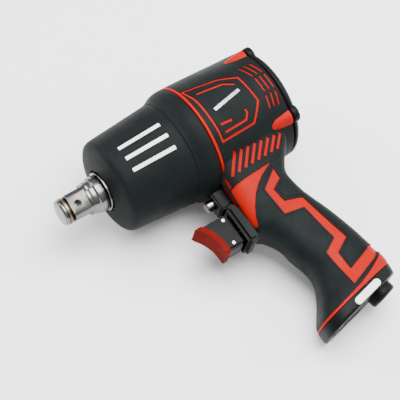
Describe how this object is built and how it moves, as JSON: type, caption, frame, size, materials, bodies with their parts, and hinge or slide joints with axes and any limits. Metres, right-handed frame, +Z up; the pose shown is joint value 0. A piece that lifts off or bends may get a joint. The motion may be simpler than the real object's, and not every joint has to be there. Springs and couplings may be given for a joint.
{
  "type": "impact wrench",
  "caption": "Pistol-grip air impact wrench: square drive with retaining ring, tapered rubber nose boot, ribbed red and black composite body, sprung trigger and air inlet in the foot",
  "frame": {"origin": "centre of the front end face of the square drive, on the drive axis", "axes": "-Y out of the nose, +X towards the handle's foot, +Z up, out of the tool's left side; the tool lies on its right side, rolled 7.5 degrees"},
  "size_m": [0.2173, 0.179, 0.088],
  "materials": {
    "drive_steel": "ground and lightly oiled",
    "bright_steel": "polished",
    "hammer_steel": "dark phosphated",
    "bronze": "sintered",
    "cast_alloy": "cast, machined seats",
    "seal_rubber": "moulded",
    "boot_rubber": "matt moulded",
    "grip_rubber": "fine spark-eroded grain",
    "gasket": "fibre sheet",
    "red_composite": "glass-filled, satin",
    "black_plastic": "satin moulded",
    "dark_red_plastic": "smooth moulded",
    "felt": "pressed felt",
    "vane_composite": "phenolic laminate",
    "white_label": "blank, no lettering"
  },
  "bodies": {
    "housing": {"motor_housing": "red_composite", "barrel_grip": "grip_rubber", "handle_grip": "grip_rubber", "hammer_case": "cast_alloy", "nose_boot": "boot_rubber", "nose_ring": "drive_steel", "anvil_bushing": "bronze", "case_gasket": "gasket", "front_end_plate": "cast_alloy", "front_ball_bearing": "bright_steel", "motor_cylinder": "cast_alloy", "rear_end_plate": "cast_alloy", "rear_ball_bearing": "bright_steel", "rear_gasket": "gasket", "rear_cover": "black_plastic", "rear_cover_screw_1": "bright_steel", "rear_cover_screw_2": "bright_steel", "rear_cover_screw_3": "bright_steel", "rear_cover_screw_4": "bright_steel", "trigger_guide": "black_plastic", "reverse_valve_block": "black_plastic", "throttle_bushing": "bronze", "throttle_spring": "bright_steel", "foot_cap": "black_plastic", "foot_cap_screw_1": "bright_steel", "foot_cap_screw_2": "bright_steel", "exhaust_muffler": "felt", "air_inlet_bushing": "black_plastic", "inlet_strainer": "bright_steel", "label_plate": "white_label"},
    "rotor_and_cage": {"rotor": "bright_steel", "hammer_cage": "hammer_steel", "front_hammer_pin": "hammer_steel", "rear_hammer_pin": "hammer_steel"},
    "anvil": {"anvil": "drive_steel", "anvil_o_ring": "seal_rubber", "socket_retaining_ring": "bronze"},
    "front_hammer": {"front_hammer": "hammer_steel"},
    "rear_hammer": {"rear_hammer": "hammer_steel"},
    "trigger": {"trigger_blade": "dark_red_plastic", "trigger_shroud": "black_plastic", "trigger_rod": "bright_steel", "trigger_pin_1": "bright_steel", "trigger_pin_2": "bright_steel", "throttle_valve": "bronze"},
    "reverse_button": {"reverse_button": "bright_steel"},
    "vane_1": {"vane_1": "vane_composite"},
    "vane_2": {"vane_2": "vane_composite"},
    "vane_3": {"vane_3": "vane_composite"},
    "vane_4": {"vane_4": "vane_composite"},
    "vane_5": {"vane_5": "vane_composite"},
    "vane_6": {"vane_6": "vane_composite"}
  },
  "joints": [
    {"name": "rotor_spin", "type": "hinge", "parent": "housing", "child": "rotor_and_cage", "pos_m": [0, 0.13, 0], "axis": [0, 1, 0], "continuous": true},
    {"name": "drive_spin", "type": "hinge", "parent": "housing", "child": "anvil", "pos_m": [0, 0.04, 0], "axis": [0, 1, 0], "continuous": true},
    {"name": "front_hammer_swing", "type": "hinge", "parent": "rotor_and_cage", "child": "front_hammer", "pos_m": [0.0032, 0.065, 0.02429], "axis": [0, 1, 0], "range_deg": [-2, 4]},
    {"name": "rear_hammer_swing", "type": "hinge", "parent": "rotor_and_cage", "child": "rear_hammer", "pos_m": [-0.0032, 0.084, -0.02429], "axis": [0, 1, 0], "range_deg": [-2, 4]},
    {"name": "trigger_pull", "type": "slide", "parent": "housing", "child": "trigger", "axis": [0, 1, 0], "range_m": [0, 0.008], "stiffness_N_per_m": 900, "springref_m": -0.012, "deforming": ["throttle_spring"]},
    {"name": "reverse_push", "type": "slide", "parent": "housing", "child": "reverse_button", "axis": [0, 1, 0], "range_m": [0, 0.006], "stiffness_N_per_m": 400, "springref_m": -0.008},
    {"name": "vane_1_slide", "type": "slide", "parent": "rotor_and_cage", "child": "vane_1", "axis": [0.9914, 0, -0.1305], "range_m": [0, 0.001]},
    {"name": "vane_2_slide", "type": "slide", "parent": "rotor_and_cage", "child": "vane_2", "axis": [0.3827, 0, -0.9239], "range_m": [0, 0.001]},
    {"name": "vane_3_slide", "type": "slide", "parent": "rotor_and_cage", "child": "vane_3", "axis": [-0.6088, 0, -0.7934], "range_m": [0, 0.001]},
    {"name": "vane_4_slide", "type": "slide", "parent": "rotor_and_cage", "child": "vane_4", "axis": [-0.9914, 0, 0.1305], "range_m": [0, 0.001]},
    {"name": "vane_5_slide", "type": "slide", "parent": "rotor_and_cage", "child": "vane_5", "axis": [-0.3827, 0, 0.9239], "range_m": [0, 0.001]},
    {"name": "vane_6_slide", "type": "slide", "parent": "rotor_and_cage", "child": "vane_6", "axis": [0.6088, 0, 0.7934], "range_m": [0, 0.001]}
  ],
  "couplings": [
    {"joint": "drive_spin", "follows": "rotor_spin", "ratio": 1}
  ]
}
